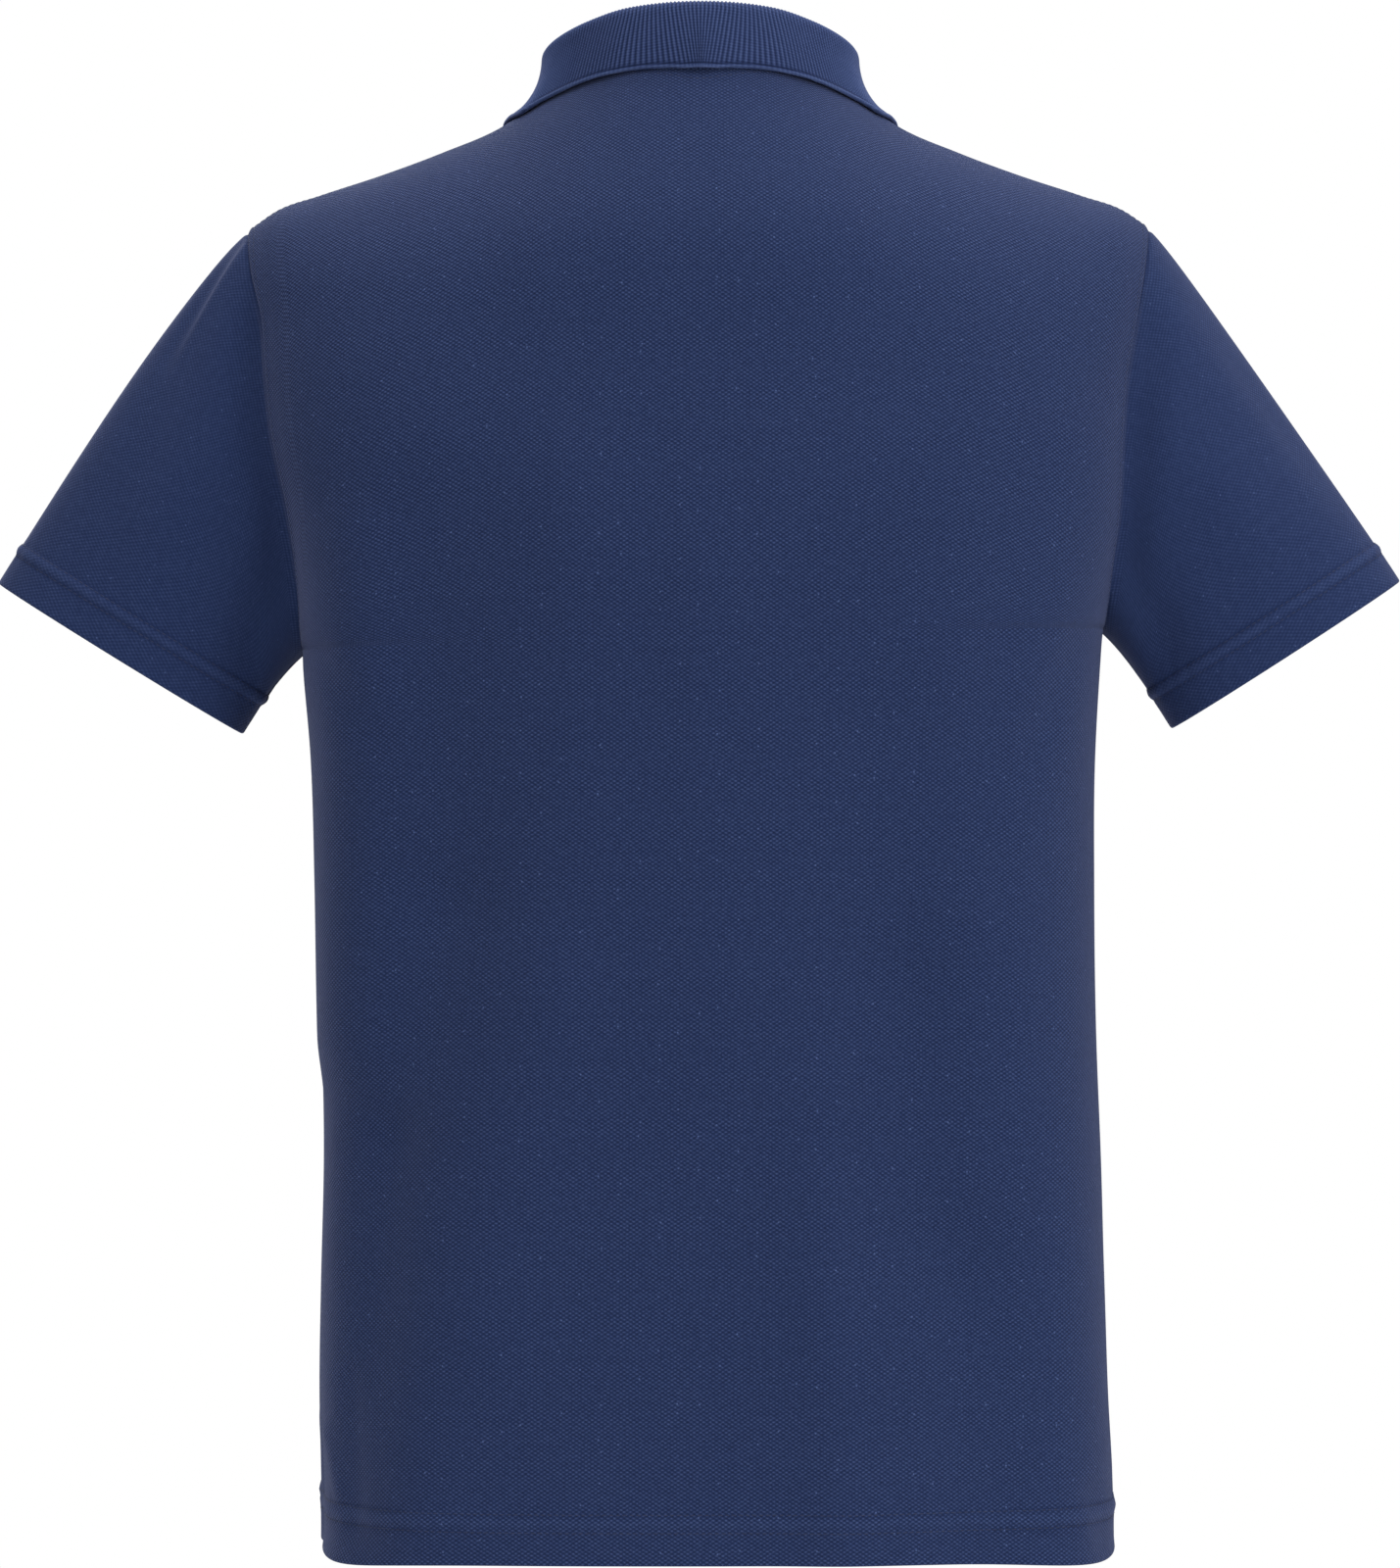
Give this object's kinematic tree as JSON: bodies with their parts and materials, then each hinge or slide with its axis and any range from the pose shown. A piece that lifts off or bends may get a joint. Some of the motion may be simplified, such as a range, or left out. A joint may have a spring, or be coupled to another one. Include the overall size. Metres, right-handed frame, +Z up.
{
  "type": "polo shirt",
  "caption": "Short-sleeved polo shirt in pique knit with a ribbed collar and a buttoned placket, filled out as worn, hollow and open at neck, cuffs and hem.",
  "frame": {"origin": "middle of the neck, level with the shoulders that carry the shirt", "axes": "+Z up toward the collar, -Y the way the wearer faces so that the back panel faces +Y, +X toward the wearer's left"},
  "size_m": [0.6618, 0.2567, 0.7229],
  "materials": {
    "pique_knit": "matt navy cotton pique knit",
    "rib_knit": "matt navy flat-knitted one by one rib",
    "button_plastic": "polished moulded polyester"
  },
  "bodies": {
    "root": {"back": "pique_knit", "front": "pique_knit", "sleeve_left": "pique_knit", "sleeve_right": "pique_knit", "placket_under": "pique_knit", "placket_top": "pique_knit", "collar": "rib_knit", "button_1": "button_plastic", "button_2": "button_plastic", "button_3": "button_plastic"}
  },
  "joints": []
}
